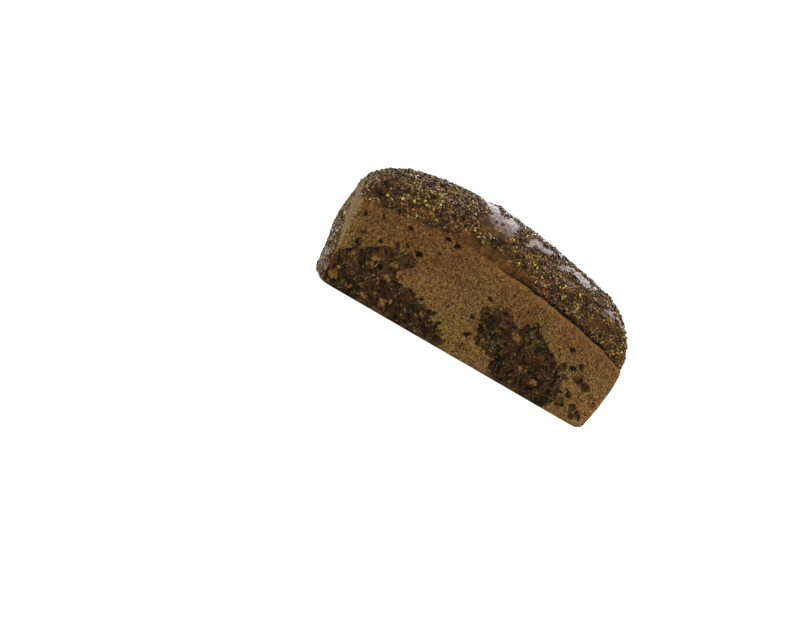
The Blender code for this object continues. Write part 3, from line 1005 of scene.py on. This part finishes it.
def grit_material():
    """Fine grits, most of them tan or yellow and some dark."""
    material, tree, shader = new_material("grits", Specular_IOR_Level=0.05)
    place, tone = object_place(tree), attribute(tree, "tone")
    mottle = shader_noise(place, 0.9)
    colour = mix(tone.ramp(0.15, 0.45), rgb(45, 31, 15), rgb(113, 90, 50))
    colour = mix(tone.ramp(0.82, 0.97), colour, rgb(172, 152, 84))
    colour = shaded(colour, (0.6 + mottle * 0.8) * clumps(place))
    feed_grain(shader, colour, 0.4 + mottle * 0.3, mottle, 0.15)
    return material


def maize_material():
    """Bright yellow, for maize grits and a few straw-coloured grains."""
    material, tree, shader = new_material("maize", Specular_IOR_Level=0.4)
    place, tone = object_place(tree), attribute(tree, "tone")
    mottle = shader_noise(place, 1.5)
    colour = mix(tone, rgb(168, 150, 58), rgb(184, 176, 90))
    colour = shaded(colour, 0.75 + mottle * 0.5)
    feed_grain(shader, colour, 0.4 + mottle * 0.2, mottle, 0.15)
    return material


def lay(name, crust, material, shape, places):
    """One piece of the loaf: the shape at each place, its lower side bedded in the crust."""
    points = np.empty(len(crust.vertices) * 3)
    crust.vertices.foreach_get("co", points)
    points, normals = points.reshape(-1, 3), vertex_normals(crust)
    joined = bmesh.new()
    for x, y, z, turn, size in places:
        nearest = int(np.argmin(np.linalg.norm(points - np.array((x, y, z)) * MM, axis=1)))
        upright = Vector(normals[nearest]).to_track_quat("Z", "X").to_matrix().to_4x4()
        place = Matrix.Translation(points[nearest] + normals[nearest] * SINGLE_LIFT * MM)
        start = len(joined.verts)
        joined.from_mesh(shape)
        joined.verts.ensure_lookup_table()
        matrix = place @ upright @ Matrix.Rotation(math.radians(turn), 4, "Z") @ Matrix.Scale(size, 4)
        bmesh.ops.transform(joined, matrix=matrix, verts=joined.verts[start:])
    mesh = bpy.data.meshes.new(name)
    joined.to_mesh(mesh)
    joined.free()
    mesh.materials.append(material)
    return add_piece(name, mesh)


def grain_shapes(draw):
    """The shapes of every kind of grain, by kind."""
    shapes = {"flax": [flax_shape(f"flax_{number}", bend) for number, bend in enumerate(FLAX_BENDS)]}
    for kind, sizes in BROKEN_GRAINS.items():
        shapes[kind] = [broken_shape(f"{kind}_{number}", draw, *sizes) for number in range(GRAIN_KINDS)]
    return shapes


def grain_looks():
    """The materials of every kind of grain, by kind."""
    return {
        "light_flax": flax_material("flax_on_dome", 1.0, 0.18),
        "dark_flax": flax_material("flax_in_walls", 0.4, 0.03),
        "rye": cracked_material(),
        "grit": grit_material(),
        "maize": maize_material(),
    }


def dress_loaf():
    """The crust and, strewn over it, every kind of grain."""
    mesh = crust_mesh()
    mesh.materials.append(crust_material())
    draw = random.Random(7)
    shapes, looks = grain_shapes(draw), grain_looks()
    straw = broken_shape("straw", draw, *STRAW)
    crust = add_piece("crust", mesh)
    pieces = [
        crust,
        lay("maize_singles", mesh, looks["maize"], shapes["maize"][0], MAIZE_PLACES),
        lay("straw_singles", mesh, looks["maize"], straw, STRAW_PLACES),
    ]
    tree = strewing_tree()
    grains = {kind: grain_collection(kind, meshes) for kind, meshes in shapes.items()}
    for seed, row in enumerate(STREWN, 1):
        name, look, kind, where, spacing, density, lift, smallest, largest = row
        inputs = {
            "Grains": grains[kind], "Look": looks[look], "Where": where, "Tilt": TILTS[where],
            "Spacing": spacing * MM, "Density": density, "Lift": lift * MM,
            "Smallest": smallest, "Largest": largest, "Seed": seed,
        }
        pieces.append(strew(tree, name, mesh, inputs))
    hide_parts("loaf")
    for piece in pieces:
        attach(piece, "root")


def white_stage():
    """A wide pale floor under the loaf, which glows so that it looks white."""
    shape = bmesh.new()
    bmesh.ops.create_grid(shape, x_segments=1, y_segments=1, size=FLOOR_REACH)
    floor = bpy.data.meshes.new("floor")
    shape.to_mesh(floor)
    shape.free()
    looks = {"Roughness": 0.9, "Base_Color": FLOOR_WHITE, "Emission_Strength": 1.0}
    material, tree, shader = new_material("white_floor", **looks)
    away = add_node(tree, "ShaderNodeVectorMath", {"operation": "LENGTH"}, (object_place(tree),))["Value"]
    feed(shader, "Emission Color", mix(away.ramp(0.2, 1.0), NEAR_GLOW, FLOOR_WHITE))
    floor.materials.append(material)
    add_piece("floor", floor)


def soft_world():
    """A white room that lights the loaf only softly."""
    world = bpy.data.worlds.new("studio")
    bpy.context.scene.world = world
    world.use_nodes = True
    tree = world.node_tree
    background = tree.nodes["Background"]
    background.inputs["Color"].default_value = (1.0, 1.0, 1.0, 1.0)
    seen = add_node(tree, "ShaderNodeLightPath")["Is Camera Ray"]
    feed(background, "Strength", ROOM_LIGHT + seen * ROOM_GLARE)


def soft_lamps():
    """Round lamps that all point at the middle of the loaf."""
    for name, (place, width, power, colour) in LAMPS.items():
        lamp = bpy.data.lights.new(name, "AREA")
        lamp.shape = "DISK"
        lamp.size = width
        lamp.energy = power
        lamp.color = colour
        holder = add_piece(name, lamp)
        holder.location = place
        holder.rotation_euler = (LAMP_AIM - Vector(place)).to_track_quat("-Z", "Y").to_euler()


def photo_camera():
    """The camera that the loaf was seen from: low, a little to its left, and rolled."""
    camera = bpy.data.cameras.new("camera")
    camera.lens = CAMERA_LENS
    camera.sensor_width = CAMERA_SENSOR
    camera.clip_start, camera.clip_end = 0.01, 50.0
    holder = add_piece("camera", camera)
    level = math.cos(LOOK_DOWN)
    forward = (math.sin(LOOK_AZIMUTH) * level, math.cos(LOOK_AZIMUTH) * level, -math.sin(LOOK_DOWN))
    aimed = Vector(forward).to_track_quat("-Z", "Y")
    holder.location = CAMERA_PLACE
    holder.rotation_mode = "QUATERNION"
    holder.rotation_quaternion = aimed @ Quaternion((0, 0, 1), CAMERA_ROLL)
    bpy.context.scene.camera = holder


dress_loaf()
white_stage()
soft_world()
soft_lamps()
photo_camera()
bpy.context.scene.view_settings.view_transform = "Standard"
